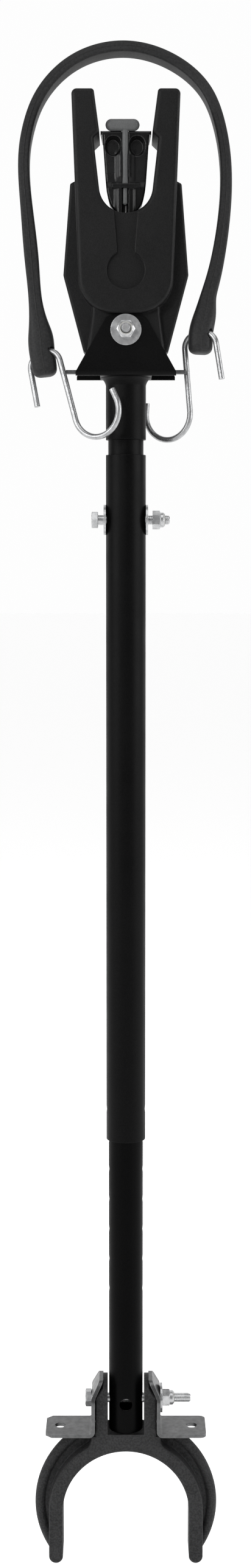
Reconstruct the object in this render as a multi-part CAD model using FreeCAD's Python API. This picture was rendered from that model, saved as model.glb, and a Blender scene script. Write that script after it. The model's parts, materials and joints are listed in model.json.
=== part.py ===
import FreeCAD, Part
import math
import os

# Transom support bracket, in millimetres.
# X runs from side to side, Y from front to back and Z up the tubes to the cradle.
# Every height below is measured from the axis of the lower cross bolt.
# At the end all pieces are raised by frame_rise, so that the origin lies on the underside of
# the two fixing tabs, midway between their holes.

V = FreeCAD.Vector
ORIGIN = V(0, 0, 0)
X_DIR = V(1, 0, 0)
Y_DIR = V(0, 1, 0)
Z_DIR = V(0, 0, 1)

# Fits and clearances
tube_fit = 0.075
pivot_fit = 0.08
bolt_clearance = 0.2
loose_gap = 0.3
plate_gap = 0.4
past = 1.0

# Tubes
upper_tube_od = 31.75
upper_tube_wall = 1.8
upper_tube_foot = 222.0
upper_tube_length = 556.0
lower_tube_wall = 1.6
lower_tube_foot = 25.5
lower_tube_top = 540.0
tube_window_d = 10.5
tube_window_z = -1.0
pin_hole_d = 6.8
pin_hole_pitch = 25.4
pin_holes_each_way = 6
pin_hole_inset = 25.0

# Bolts, nuts and washers, of 5/16 inch stock
bolt_d = 7.94
bolt_head_flats = 12.7
bolt_head_height = 5.2
bolt_point = 0.8
nut_flats = 12.8
nut_hex_height = 6.3
nut_height = 9.5
nut_collar_d = 11.8
washer_od = 24.0
washer_thickness = 1.8
lower_bolt_length = 82.55

# Fork that straddles the keel
fork_depth = 30.0
fork_inner_r = 52.5
fork_band = 11.6
fork_crown = 15.0
fork_leg = 38.6
fork_edge_round = 1.6
fork_rim_r = 75.9
fork_rim_rise = 3.6
fork_rim_bead_r = 4.6
fork_web = 5.0
fork_rim_low_z = -129.0
fork_neck_half = 28.7
fork_neck_flare_r = 9.0
slot_side_gap = 1.2
slot_floor_gap = 1.0
ear_thickness = 10.2
ear_lug_thickness = 3.7
ear_lug_r = 20.0
ear_shoulder_z = 5.5
ear_shoulder_top_z = 13.5

# Folded adapter brackets, one on each side of the fork
adapter_plate = 2.9
adapter_width = 38.0
adapter_underside_z = -27.0
adapter_reach = 66.5
adapter_bend_r = 2.0
adapter_hole_d = 9.3
adapter_hole_x = 54.8
adapter_corner = 5.0
adapter_lean_deg = 27.0
adapter_fold_z = 6.0
adapter_lip_z = 19.0
adapter_lip_half = 13.0
adapter_shoulder_z = 3.0

# Shock unit: a sleeve on a spring in the top of the outer tube
shock_travel = 10.0
shock_gap = 12.0
shock_bolt_drop = 51.0
shock_bolt_length = 57.15
shock_bolt_slack = 4.5
shock_nut_slack = 3.6
stem_wall = 1.6
stem_tail = 20.0
spring_wire_d = 3.4
spring_turns = 11.0
stub_length = 48.4

# Clevis under the cradle
clevis_plate = 3.0
clevis_base_half = 39.3
clevis_top_half = 15.0
clevis_top_rise = 11.0
clevis_corner_r = 6.0
clevis_floor_half = 20.2
stub_flare_height = 6.2
stub_flare_r = 20.0
flare_middle_out = 0.36
flare_middle_drop = 0.40
clevis_bend_r = 4.0
pivot_rise = 35.1
pivot_bolt_length = 63.5
strap_rod_d = 3.4
strap_rod_length = 95.0

# Cradle, measured up from its pivot
cradle_depth = 54.0
cradle_neck_depth = 38.0
cradle_flange_depth = 19.0
cradle_top_rise = 182.0
cradle_top_half = 42.1
cradle_side_half = 37.8
cradle_side_rise = 65.1
cradle_chin_rise = 12.5
cradle_chin_r = 28.0
cradle_top_r = 4.0
cradle_edge_r = 3.0
throat_top_half = 24.8
throat_half = 20.4
throat_rise = 149.3
pocket_top_half = 25.1
pocket_top_rise = 144.9
pocket_side_half = 21.1
pocket_side_rise = 110.5
pocket_floor_rise = 88.8
pocket_floor_r = 20.2
flange_top_half = 43.5
flange_top_rise = 113.5
flange_wide_half = 49.0
flange_wide_rise = 43.5
flange_foot_half = 33.0
flange_foot_drop = 16.5
flange_edge_r = 2.0
neck_top_half = 26.5
neck_low_half = 30.3
neck_foot_half = 25.0
neck_foot_drop = 24.0
neck_edge_r = 2.5
recess_r = 15.0
recess_rise = 45.2
recess_depth = 3.5
recess_neck_half = 7.3
recess_neck_rise = 63.5
recess_mouth_half = 10.0

# Pad in the cradle, and the locking pin that is parked in it
pad_depth = 40.0
pad_top_half = 18.3
pad_low_half = 15.4
pad_foot_half = 13.4
pad_top_rise = 151.2
pad_edge_r = 1.5
pad_lip_half = 19.6
pad_lip_height = 2.9
pad_bridge_half = 11.0
pad_bridge_offset = 0.1
pad_bridge_height = 3.0
pad_bridge_cover = 1.0
pin_d = 4.9
pin_tip_gap = 6.7
pin_handle_d = 9.0
pin_handle_length = 26.3
pin_handle_offset = -2.0
pin_nose_d = 3.5
pin_nose_length = 12.4
pin_groove_d = 3.0
pin_groove_length = 3.0
pin_offset = -0.6
pin_sink = 1.2
pin_groove_play = 0.15

# Rubber strap and its wire hooks
strap_width = 16.5
strap_thickness = 8.8
strap_lean_deg = 8.0
strap_edge_r = 2.0
strap_bulb_r = 7.0
strap_toe_r = 5.5
eye_flare_deg = 75.0
eye_sweep_from_deg = -112.0
eye_sweep_to_deg = 74.0
left_eye_x = -66.0
left_eye_drop = 16.5
right_eye_x = 58.0
right_eye_drop = 0.5
hook_wire_d = 4.6
hook_half = 14.0
hook_bend_r = 10.3
hook_short_leg = 39.0
hook_splay_deg = 5.0
hook_loop_r = 20.0
hook_close_deg = 10.0
hook_length = 78.9
hook_tip_length = 8.0
hook_turn_deg = 30.0
left_hook_tilt_deg = 17.0
right_hook_tilt_deg = 5.5

# Stations along the strap from its left toe to its right one: sideways place, height above
# the pivot, thickness and the radius of the section's corners
strap_stations = [
    (-63.4, -36.0, 18.0, strap_bulb_r),
    (-64.4, -26.0, 19.8, strap_bulb_r),
    (left_eye_x, -left_eye_drop, 20.2, strap_bulb_r),
    (-67.2, -3.5, 19.8, strap_bulb_r),
    (-68.8, 7.0, 15.4, 5.0),
    (-70.4, 18.0, 11.8, 3.0),
    (-74.2, 56.5, 11.0, strap_edge_r),
    (-78.4, 100.0, 9.6, strap_edge_r),
    (-80.0, 146.0, strap_thickness, strap_edge_r),
    (-76.5, 165.5, strap_thickness, strap_edge_r),
    (-69.7, 184.5, strap_thickness, strap_edge_r),
    (-55.6, 204.5, strap_thickness, strap_edge_r),
    (-39.0, 217.5, strap_thickness, strap_edge_r),
    (0.0, 227.1, strap_thickness, strap_edge_r),
    (34.0, 218.0, strap_thickness, strap_edge_r),
    (64.0, 191.5, strap_thickness, strap_edge_r),
    (73.4, 168.0, strap_thickness, strap_edge_r),
    (78.9, 131.5, strap_thickness, strap_edge_r),
    (76.0, 80.0, 10.0, strap_edge_r),
    (68.4, 41.0, 11.4, strap_edge_r),
    (64.6, 26.5, 13.2, 3.0),
    (62.2, 13.0, 17.6, 5.0),
    (right_eye_x + 1.0, -1.0 - right_eye_drop, 19.2, strap_bulb_r),
    (58.8, -10.0, 19.2, strap_bulb_r),
    (58.2, -18.0, 18.2, strap_bulb_r),
]

# Sizes that follow
bolt_r = bolt_d / 2
upper_tube_id = upper_tube_od - 2 * upper_tube_wall
lower_tube_od = upper_tube_id - 2 * tube_fit
lower_tube_r = lower_tube_od / 2
upper_tube_top = upper_tube_foot + upper_tube_length
pin_hole_z = upper_tube_foot + pin_hole_inset
shock_bolt_z = upper_tube_top - shock_bolt_drop
stem_bottom_z = shock_bolt_z - stem_tail
stub_foot_z = upper_tube_top + shock_gap
clevis_z = stub_foot_z + stub_length
clevis_floor_z = clevis_z + clevis_plate
pivot_z = clevis_z + pivot_rise
rod_z = clevis_floor_z + strap_rod_d / 2
clevis_inner = cradle_neck_depth / 2 + plate_gap
clevis_outer = clevis_inner + clevis_plate
slot_half = lower_tube_r + slot_side_gap
slot_floor_r = math.hypot(lower_tube_foot, lower_tube_r) + slot_floor_gap
ear_outer = slot_half + ear_thickness
adapter_inner = ear_outer + loose_gap
adapter_outer = adapter_inner + adapter_plate
adapter_tab_top_z = adapter_underside_z + adapter_plate
crown_top = -math.sqrt(slot_floor_r ** 2 - (fork_depth / 2) ** 2)
fork_centre_z = crown_top - fork_crown - fork_inner_r
fork_outer_r = fork_inner_r + fork_band
fork_rim_top_z = adapter_underside_z - past
hook_flat = hook_half - hook_bend_r
frame_rise = -adapter_underside_z


def xz(u, v):
    """A point of a front outline."""
    return V(u, 0, v)


def yz(u, v):
    """A point of a side outline."""
    return V(0, u, v)


def rounded_wire(corners, place):
    """A closed outline through corners (u, v, radius), each corner rounded by its radius."""
    edges = []
    starts = []
    ends = []
    mids = []
    count = len(corners)
    for i in range(count):
        u, v, radius = corners[i]
        here = place(u, v)
        before = place(*corners[i - 1][:2])
        after = place(*corners[(i + 1) % count][:2])
        back = (before - here).normalize()
        ahead = (after - here).normalize()
        half = back.getAngle(ahead) / 2
        reach = radius / math.tan(half)
        starts.append(here + back * reach)
        ends.append(here + ahead * reach)
        inward = (back + ahead).normalize()
        mids.append(here + inward * (radius / math.sin(half) - radius))
    for i in range(count):
        if corners[i][2] > 0:
            edges.append(Part.Arc(starts[i], mids[i], ends[i]).toShape())
        following = starts[(i + 1) % count]
        if (following - ends[i]).Length > 1e-6:
            edges.append(Part.LineSegment(ends[i], following).toShape())
    return Part.Wire(edges)


def front_plate(corners, depth):
    """A rounded outline in X and Z, as thick as depth and centred on Y."""
    face = Part.Face(rounded_wire(corners, xz))
    face.translate(V(0, -depth / 2, 0))
    return face.extrude(V(0, depth, 0))


def side_plate(corners, x_low, thickness):
    """A rounded outline in Y and Z, from x_low on."""
    face = Part.Face(rounded_wire(corners, yz))
    face.translate(V(x_low, 0, 0))
    return face.extrude(V(thickness, 0, 0))


def both_sides(right_half):
    """A closed list of corners from its right half, listed from the top down."""
    left_half = [(-u, v, radius) for u, v, radius in reversed(right_half) if u > 0]
    return right_half + left_half


def cylinder_x(radius, x_low, x_high, z=0.0, y=0.0):
    return Part.makeCylinder(radius, x_high - x_low, V(x_low, y, z), X_DIR)


def cylinder_y(radius, y_low, y_high, z=0.0, x=0.0):
    return Part.makeCylinder(radius, y_high - y_low, V(x, y_low, z), Y_DIR)


def cylinder_z(radius, z_low, z_high, x=0.0, y=0.0):
    return Part.makeCylinder(radius, z_high - z_low, V(x, y, z_low), Z_DIR)


def turned(points):
    """A turned piece about Z from its (radius, height) outline."""
    wire = Part.makePolygon([V(r, 0, z) for r, z in points + points[:1]])
    return Part.Face(wire).revolve(ORIGIN, Z_DIR, 360)


def tube(outer_r, inner_r, z_low, z_high):
    return turned([(inner_r, z_low), (outer_r, z_low), (outer_r, z_high), (inner_r, z_high)])


def mirrored(shape):
    """The same piece on the other side of the YZ plane."""
    return shape.mirror(ORIGIN, X_DIR)


def round_edges(shape, radius, chosen):
    edges = [edge for edge in shape.Edges if chosen(edge)]
    return shape.makeFillet(radius, edges)


def on_face_y(edge, y):
    """True for an edge that lies in the plane at this Y."""
    box = edge.BoundBox
    return abs(box.YMin - y) < 1e-3 and abs(box.YMax - y) < 1e-3


def hex_prism(flats, height):
    """A hexagon about Z with its outer corners turned down."""
    radius = flats / math.sqrt(3)
    corners = [V(radius * math.cos(k * math.pi / 3), radius * math.sin(k * math.pi / 3), 0) for k in range(7)]
    prism = Part.Face(Part.makePolygon(corners)).extrude(V(0, 0, height))
    drop = (radius - flats / 2) * 0.8
    lens = turned([(0, 0), (radius, 0), (radius, height - drop), (flats * 0.47, height), (0, height)])
    return prism.common(lens)


def aim(shape, start, direction):
    """Turns a piece built up from the origin along Z to stand at start along direction."""
    turned_to = FreeCAD.Rotation(Z_DIR, direction)
    placed = shape.copy()
    placed.Placement = FreeCAD.Placement(start, turned_to)
    return placed


def hex_bolt(length, seat, direction):
    """A bolt whose head bears at seat; its shank runs along direction."""
    head = aim(hex_prism(bolt_head_flats, bolt_head_height), seat, direction * -1)
    shank = turned([(0, 0), (bolt_r, 0), (bolt_r, length - bolt_point), (bolt_r - bolt_point, length), (0, length)])
    return head.fuse(aim(shank, seat, direction)).removeSplitter()


def lock_nut(seat, direction):
    """A nut with a nylon collar, bearing at seat with its collar further along direction."""
    body = hex_prism(nut_flats, nut_hex_height)
    collar_r = nut_collar_d / 2
    collar = turned([(0, 0), (collar_r, 0), (collar_r, nut_height - 1), (collar_r - 1, nut_height), (0, nut_height)])
    hole = cylinder_z(bolt_r, -1, nut_height + 1)
    return aim(body.fuse(collar).cut(hole).removeSplitter(), seat, direction)


def washer(seat, direction):
    """A flat washer that starts at seat and is stacked along direction."""
    return aim(tube(washer_od / 2, bolt_r + bolt_clearance, 0, washer_thickness), seat, direction)


def circle_arc(centre_z, radius, start_deg, end_deg):
    """An arc in the front view about (0, centre_z); 0 degrees is +X and 90 is up."""
    points = []
    for angle in (start_deg, (start_deg + end_deg) / 2, end_deg):
        turn = math.radians(angle)
        points.append(xz(radius * math.cos(turn), centre_z + radius * math.sin(turn)))
    return Part.Arc(*points).toShape()


def line(start, end):
    return Part.LineSegment(start, end).toShape()


def prism_y(edges, depth):
    """The solid between the closed edges, as thick as depth and centred on Y."""
    face = Part.Face(Part.Wire(edges))
    face.translate(V(0, -depth / 2, 0))
    return face.extrude(V(0, depth, 0))


def fork_band_shape():
    """The U that rides on the keel, with round tips."""
    leg_z = fork_centre_z - fork_leg
    tip_r = fork_band / 2
    middle = fork_inner_r + tip_r
    low_tip = leg_z - tip_r
    edges = [
        circle_arc(fork_centre_z, fork_outer_r, 180, 0),
        line(xz(fork_outer_r, fork_centre_z), xz(fork_outer_r, leg_z)),
        Part.Arc(xz(fork_outer_r, leg_z), xz(middle, low_tip), xz(fork_inner_r, leg_z)).toShape(),
        line(xz(fork_inner_r, leg_z), xz(fork_inner_r, fork_centre_z)),
        circle_arc(fork_centre_z, fork_inner_r, 0, 180),
        line(xz(-fork_inner_r, fork_centre_z), xz(-fork_inner_r, leg_z)),
        Part.Arc(xz(-fork_inner_r, leg_z), xz(-middle, low_tip), xz(-fork_outer_r, leg_z)).toShape(),
        line(xz(-fork_outer_r, leg_z), xz(-fork_outer_r, fork_centre_z)),
    ]
    return prism_y(edges, fork_depth)


def fork_rim():
    """The crescent outside the U: a thin web with a round bead along its edge."""
    centre_z = fork_centre_z + fork_rim_rise
    bead_path_r = fork_rim_r - fork_rim_bead_r
    disc = cylinder_y(bead_path_r, -fork_web / 2, fork_web / 2, centre_z)
    bead = Part.makeTorus(bead_path_r, fork_rim_bead_r, V(0, 0, centre_z), Y_DIR)
    inside = fork_inner_r + fork_band / 2
    wide = 4 * fork_rim_r
    bore = cylinder_y(inside, -fork_depth, fork_depth, fork_centre_z)
    legs = Part.makeBox(2 * inside, wide, wide, V(-inside, -wide / 2, fork_centre_z - wide))
    above = Part.makeBox(wide, wide, wide, V(-wide / 2, -wide / 2, fork_rim_top_z))
    below = Part.makeBox(wide, wide, wide, V(-wide / 2, -wide / 2, fork_rim_low_z - wide))
    return disc.fuse(bead).cut([bore, legs, above, below])


def fork_neck():
    """The block between the ears and the U, flaring into the U on each side."""
    flare_x = fork_neck_half + fork_neck_flare_r
    reach = fork_outer_r + fork_neck_flare_r
    flare_z = fork_centre_z + math.sqrt(reach ** 2 - flare_x ** 2)
    turn = math.atan2(flare_z - fork_centre_z, flare_x)
    foot = xz(fork_outer_r * math.cos(turn), fork_centre_z + fork_outer_r * math.sin(turn))
    middle_turn = (math.pi + math.pi + turn) / 2
    middle = xz(
        flare_x + fork_neck_flare_r * math.cos(middle_turn),
        flare_z + fork_neck_flare_r * math.sin(middle_turn),
    )
    deep = fork_centre_z + math.sqrt((fork_inner_r + fork_band / 2) ** 2 - foot.x ** 2)
    middle_z = fork_centre_z + fork_inner_r + fork_band / 2
    top = fork_neck_top_z()
    edges = [
        line(xz(0, top), xz(fork_neck_half, top)),
        line(xz(fork_neck_half, top), xz(fork_neck_half, flare_z)),
        Part.Arc(xz(fork_neck_half, flare_z), middle, foot).toShape(),
        line(foot, xz(foot.x, deep)),
        line(xz(foot.x, deep), xz(0, middle_z)),
        line(xz(0, middle_z), xz(0, top)),
    ]
    right = prism_y(edges, fork_depth)
    return right.fuse(mirrored(right))


def fork_neck_top_z():
    return adapter_underside_z - past


def fork_ear():
    """One ear: thick beside the bolt, then sloping in to a thin round lug on top."""
    lug_outer = slot_half + ear_lug_thickness
    root_z = fork_neck_top_z() - fork_band
    body = front_plate([
        (slot_half, root_z, 0),
        (ear_outer, root_z, 0),
        (ear_outer, ear_shoulder_z, 3),
        (lug_outer, ear_shoulder_top_z, 2.5),
        (lug_outer, ear_lug_r + past, 0),
        (slot_half, ear_lug_r + past, 0),
    ], fork_depth)

    def outer_edge(edge):
        flat = on_face_y(edge, -fork_depth / 2) or on_face_y(edge, fork_depth / 2)
        return flat and edge.BoundBox.XMin > slot_half + past

    body = round_edges(body, fork_edge_round, outer_edge)
    lug = cylinder_x(ear_lug_r, slot_half, ear_outer)
    column = Part.makeBox(ear_thickness, fork_depth, -root_z, V(slot_half, -fork_depth / 2, root_z))
    return body.common(lug.fuse(column))


def fork_saddle():
    """The block between the ears that the slot's round floor is cut from."""
    root_z = fork_neck_top_z() - fork_band
    half = slot_half + ear_lug_thickness
    height = crown_top + past - root_z
    return Part.makeBox(2 * half, fork_depth, height, V(-half, -fork_depth / 2, root_z))


def make_fork():
    """The cast fork: U, rim, neck and two ears in one piece."""
    body = fork_band_shape().fuse(fork_neck()).removeSplitter()
    top = fork_neck_top_z()

    def outline_edge(edge):
        flat = on_face_y(edge, -fork_depth / 2) or on_face_y(edge, fork_depth / 2)
        return flat and edge.BoundBox.ZMin < top - 1e-3

    body = round_edges(body, fork_edge_round, outline_edge)
    body = body.fuse([fork_saddle(), fork_ear(), mirrored(fork_ear()), fork_rim()])
    floor = cylinder_x(slot_floor_r, -slot_half, slot_half)
    deep = 3 * slot_floor_r
    below = Part.makeBox(2 * slot_half, deep, deep, V(-slot_half, -deep / 2, -deep))
    hole = cylinder_x(bolt_r + bolt_clearance, -ear_outer - past, ear_outer + past)
    return body.cut([floor.common(below), hole]).removeSplitter()


def adapter_profile():
    """The folded section of one adapter in X and Z: leaning lip, upright and tab."""
    lean = math.tan(math.radians(adapter_lean_deg))
    shift = (adapter_lip_z - adapter_fold_z) * lean
    fold_drop = adapter_plate * math.tan(math.radians(adapter_lean_deg / 2))
    inner_shift = (adapter_lip_z - adapter_fold_z + fold_drop) * lean
    return [
        (adapter_inner, adapter_underside_z, adapter_bend_r + adapter_plate),
        (adapter_inner, adapter_fold_z - fold_drop, 6),
        (adapter_inner - inner_shift, adapter_lip_z, 0),
        (adapter_outer - shift, adapter_lip_z, 0),
        (adapter_outer, adapter_fold_z, 6 + adapter_plate),
        (adapter_outer, adapter_tab_top_z, adapter_bend_r),
        (adapter_reach, adapter_tab_top_z, 0),
        (adapter_reach, adapter_underside_z, 0),
    ]


def make_adapter(side):
    """One adapter bracket: an upright on the bolt, a lip over the ear and a tab with its hole."""
    body = front_plate(adapter_profile(), adapter_width)
    half = adapter_width / 2
    low_z = adapter_underside_z - past
    cheek = [
        (-half, low_z, 0),
        (half, low_z, 0),
        (half, adapter_shoulder_z, 9),
        (adapter_lip_half, adapter_lip_z, 6),
        (-adapter_lip_half, adapter_lip_z, 6),
        (-half, adapter_shoulder_z, 9),
    ]
    keep = side_plate(cheek, 0, adapter_outer + loose_gap)
    tab = Part.makeBox(adapter_reach, adapter_width, adapter_plate + 2 * past, V(0, -half, low_z))
    body = body.common(keep.fuse(tab))

    def tab_corner(edge):
        box = edge.BoundBox
        return box.XMin > adapter_reach - 1e-3 and box.ZLength > adapter_plate / 2 and box.YLength < 1e-3

    corners = [edge for edge in body.Edges if tab_corner(edge)]
    if side < 0:
        body = body.makeChamfer(adapter_corner, corners)
    else:
        body = body.makeFillet(adapter_corner, corners)
    bolt_hole = cylinder_x(bolt_r + bolt_clearance, 0, adapter_outer + past)
    fixing_hole = cylinder_z(adapter_hole_d / 2, low_z, adapter_tab_top_z + past, adapter_hole_x)
    body = body.cut([bolt_hole, fixing_hole])
    return body if side > 0 else mirrored(body)


def make_lower_bolt():
    return hex_bolt(lower_bolt_length, V(-adapter_outer, 0, 0), X_DIR)


def make_lower_washer():
    return washer(V(adapter_outer, 0, 0), X_DIR)


def make_lower_nut():
    return lock_nut(V(adapter_outer + washer_thickness, 0, 0), X_DIR)


def make_lower_tube():
    """The inner tube: swings on the lower bolt and has the row of pin holes in its sides."""
    radius = lower_tube_r
    body = tube(radius, radius - lower_tube_wall, -lower_tube_foot, lower_tube_top)
    cuts = [cylinder_x(bolt_r + pivot_fit, -radius - past, radius + past)]
    cuts.append(cylinder_y(tube_window_d / 2, -radius - past, radius + past, tube_window_z))
    for step in range(-pin_holes_each_way, pin_holes_each_way + 1):
        height = pin_hole_z + step * pin_hole_pitch
        cuts.append(cylinder_x(pin_hole_d / 2, -radius - past, radius + past, height))
    return body.cut(cuts)


def make_upper_tube():
    """The outer tube, with one pin hole near its foot and the shock bolt's holes."""
    radius = upper_tube_od / 2
    body = tube(radius, upper_tube_id / 2, upper_tube_foot, upper_tube_top)
    pin_hole = cylinder_x(pin_hole_d / 2, -radius - past, radius + past, pin_hole_z)
    bolt_hole = cylinder_x(bolt_r + bolt_clearance, -radius - past, radius + past, shock_bolt_z)
    return body.cut([pin_hole, bolt_hole])


def shock_head_x():
    return -upper_tube_od / 2 - washer_thickness - shock_bolt_slack


def make_shock_bolt():
    return hex_bolt(shock_bolt_length, V(shock_head_x(), 0, shock_bolt_z), X_DIR)


def make_shock_washers():
    left = washer(V(-upper_tube_od / 2, 0, shock_bolt_z), X_DIR * -1)
    right = washer(V(upper_tube_od / 2, 0, shock_bolt_z), X_DIR)
    return Part.makeCompound([left, right])


def make_shock_nut():
    seat_x = upper_tube_od / 2 + washer_thickness + shock_nut_slack
    return lock_nut(V(seat_x, 0, shock_bolt_z), X_DIR)


def make_stem_tube():
    """Slides in the top of the outer tube; the shock bolt crosses it in two slots."""
    radius = lower_tube_r
    body = tube(radius, radius - stem_wall, stem_bottom_z, clevis_z)
    slot_r = bolt_r + loose_gap
    low_end = cylinder_x(slot_r, -radius - past, radius + past, shock_bolt_z)
    high_end = cylinder_x(slot_r, -radius - past, radius + past, shock_bolt_z + shock_travel)
    corner = V(-radius - past, -slot_r, shock_bolt_z)
    middle = Part.makeBox(2 * (radius + past), 2 * slot_r, shock_travel, corner)
    return body.cut([low_end, high_end, middle])


def make_spring():
    """The shock spring inside the stem, with ends ground flat on the bolt and the clevis."""
    low = shock_bolt_z + bolt_r
    high = clevis_z
    wire_r = spring_wire_d / 2
    coil_r = lower_tube_r - stem_wall - loose_gap - wire_r
    pitch = (high - low) / spring_turns
    helix = Part.makeHelix(pitch, high - low + 2 * wire_r, coil_r)
    helix.translate(V(0, 0, low - wire_r))
    section = Part.Wire(Part.makeCircle(wire_r, V(coil_r, 0, low - wire_r), Y_DIR))
    coil = Part.Wire(helix).makePipeShell([section], True, True)
    room = cylinder_z(lower_tube_od, low, high)
    return coil.common(room)


def make_stub_tube():
    """The short tube under the clevis, which flares at the top where it is welded on."""
    outer = upper_tube_od / 2
    body = tube(outer, lower_tube_r + tube_fit, stub_foot_z, clevis_z)
    low = clevis_z - stub_flare_height
    flare = stub_flare_r - outer
    edges = [
        line(xz(outer - past, low), xz(outer, low)),
        Part.Arc(xz(outer, low), xz(outer + flare_middle_out * flare, clevis_z - flare_middle_drop * stub_flare_height),
                 xz(stub_flare_r, clevis_z)).toShape(),
        line(xz(stub_flare_r, clevis_z), xz(outer - past, clevis_z)),
        line(xz(outer - past, clevis_z), xz(outer - past, low)),
    ]
    weld = Part.Face(Part.Wire(edges)).revolve(ORIGIN, Z_DIR, 360)
    return body.fuse(weld).removeSplitter()


def make_clevis():
    """A folded U of plate: cheeks that narrow upwards to the pivot bolt, on a shorter floor."""
    top_z = pivot_z + clevis_top_rise
    section = [
        (-clevis_outer, top_z, 0),
        (-clevis_outer, clevis_z, clevis_bend_r),
        (clevis_outer, clevis_z, clevis_bend_r),
        (clevis_outer, top_z, 0),
        (clevis_inner, top_z, 0),
        (clevis_inner, clevis_floor_z, clevis_bend_r - clevis_plate),
        (-clevis_inner, clevis_floor_z, clevis_bend_r - clevis_plate),
        (-clevis_inner, top_z, 0),
    ]
    folded = side_plate(section, -clevis_base_half, 2 * clevis_base_half)
    cheek = both_sides([
        (clevis_top_half, top_z, clevis_corner_r),
        (clevis_base_half, clevis_floor_z, 0),
        (clevis_base_half, clevis_z, 0),
    ])
    body = folded.common(front_plate(cheek, 2 * clevis_outer))
    for side in (-1, 1):
        notch_x = min(side * clevis_floor_half, side * (clevis_base_half + past))
        notch = Part.makeBox(clevis_base_half + past - clevis_floor_half, 2 * clevis_inner,
                             clevis_floor_z + clevis_bend_r - clevis_z + past,
                             V(notch_x, -clevis_inner, clevis_z - past))
        body = body.cut(notch)
    hole = cylinder_y(bolt_r + bolt_clearance, -clevis_outer - 1, clevis_outer + 1, pivot_z)
    return body.cut(hole)


def make_strap_rod():
    """The thin rod welded across the clevis floor; its ends take the strap hooks."""
    return cylinder_x(strap_rod_d / 2, -strap_rod_length / 2, strap_rod_length / 2, rod_z)


def make_pivot_bolt():
    return hex_bolt(pivot_bolt_length, V(0, clevis_outer + washer_thickness, pivot_z), Y_DIR * -1)


def make_pivot_washers():
    front = washer(V(0, -clevis_outer, pivot_z), Y_DIR * -1)
    back = washer(V(0, clevis_outer, pivot_z), Y_DIR)
    return Part.makeCompound([front, back])


def make_pivot_nut():
    return lock_nut(V(0, -clevis_outer - washer_thickness, pivot_z), Y_DIR * -1)


def up(rise):
    """A height measured from the cradle's pivot."""
    return pivot_z + rise


def throat_corners():
    """The gap between the arms and the pocket below it, from the top right down."""
    fall = (pocket_top_half - pocket_side_half) / (pocket_top_rise - pocket_side_rise)
    floor_half = pocket_side_half - fall * (pocket_side_rise - pocket_floor_rise)
    return [
        (throat_top_half, up(cradle_top_rise), 2.5),
        (throat_half, up(throat_rise), 1.2),
        (pocket_top_half, up(pocket_top_rise), 1.5),
        (floor_half, up(pocket_floor_rise), pocket_floor_r * 0.995),
    ]


def pocket_prism(depth):
    """The open space of the throat and pocket, run past the cradle's top."""
    top = (throat_top_half + past, up(cradle_top_rise) + 5 * past, 0)
    right = [top] + throat_corners()[1:]
    left = [(-u, v, radius) for u, v, radius in reversed(right)]
    return front_plate(right + left, depth)


def cradle_face():
    """The thick horseshoe body with its two arms."""
    fall = (cradle_top_half - cradle_side_half) / (cradle_top_rise - cradle_side_rise)
    chin_half = cradle_side_half - fall * (cradle_side_rise - cradle_chin_rise)
    arms = [
        (cradle_top_half, up(cradle_top_rise), cradle_top_r),
        (chin_half, up(cradle_chin_rise), cradle_chin_r),
    ]
    left = [(-u, v, radius) for u, v, radius in reversed(arms)]
    throat = throat_corners()
    throat_left = [(-u, v, radius) for u, v, radius in throat]
    body = front_plate(arms + left + throat_left + list(reversed(throat)), cradle_depth)

    def rim_edge(edge):
        return on_face_y(edge, -cradle_depth / 2) or on_face_y(edge, cradle_depth / 2)

    return round_edges(body, cradle_edge_r, rim_edge)


def cradle_flange():
    """The wide middle flange that stands out beside and below the face."""
    outline = both_sides([
        (cradle_side_half, up(flange_top_rise) + 3, 0),
        (flange_top_half, up(flange_top_rise), 2),
        (flange_wide_half, up(flange_wide_rise), 3),
        (flange_foot_half, up(-flange_foot_drop), 3),
    ])
    body = front_plate(outline, cradle_flange_depth)

    def rim_edge(edge):
        flat = on_face_y(edge, -cradle_flange_depth / 2) or on_face_y(edge, cradle_flange_depth / 2)
        return flat and edge.BoundBox.ZMin < up(flange_top_rise) + 2

    return round_edges(body, flange_edge_r, rim_edge)


def cradle_neck():
    """The foot that sits between the clevis cheeks on the pivot bolt."""
    outline = both_sides([
        (neck_top_half, up(cradle_chin_rise + cradle_chin_r), 0),
        (neck_top_half, up(cradle_chin_rise), 12),
        (neck_low_half, up(-flange_foot_drop), 3),
        (neck_foot_half, up(-neck_foot_drop), 3),
    ])
    body = front_plate(outline, cradle_neck_depth)

    def rim_edge(edge):
        flat = on_face_y(edge, -cradle_neck_depth / 2) or on_face_y(edge, cradle_neck_depth / 2)
        return flat and edge.BoundBox.ZMin < up(cradle_chin_rise)

    return round_edges(body, neck_edge_r, rim_edge)


def keyhole_recess(front):
    """The shallow keyhole sunk in the face: a round pocket with a channel up to the throat."""
    face_y = front * cradle_depth / 2
    low_y = min(face_y, face_y - front * recess_depth)
    disc = cylinder_y(recess_r, low_y, low_y + recess_depth, up(recess_rise))
    top = up(pocket_floor_rise) + 2 * recess_depth
    root = up(recess_rise)
    channel = front_plate([
        (recess_mouth_half, top, 0),
        (recess_neck_half, up(recess_neck_rise), 8),
        (recess_neck_half, root, 0),
        (-recess_neck_half, root, 0),
        (-recess_neck_half, up(recess_neck_rise), 8),
        (-recess_mouth_half, top, 0),
    ], recess_depth)
    channel.translate(V(0, low_y + recess_depth / 2, 0))
    return disc.fuse(channel)


def make_cradle():
    """The moulded yoke that holds the motor leg."""
    body = cradle_face().fuse([cradle_flange().cut(pocket_prism(cradle_depth)), cradle_neck()])
    body = body.cut([keyhole_recess(-1), keyhole_recess(1)])
    hole = cylinder_y(bolt_r + pivot_fit, -cradle_depth, cradle_depth, pivot_z)
    return body.cut(hole).removeSplitter()


def pin_axis_y():
    """The parked pin lies just behind the pad's front face, gripped by its groove."""
    return -pad_depth / 2 + pin_sink


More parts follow.
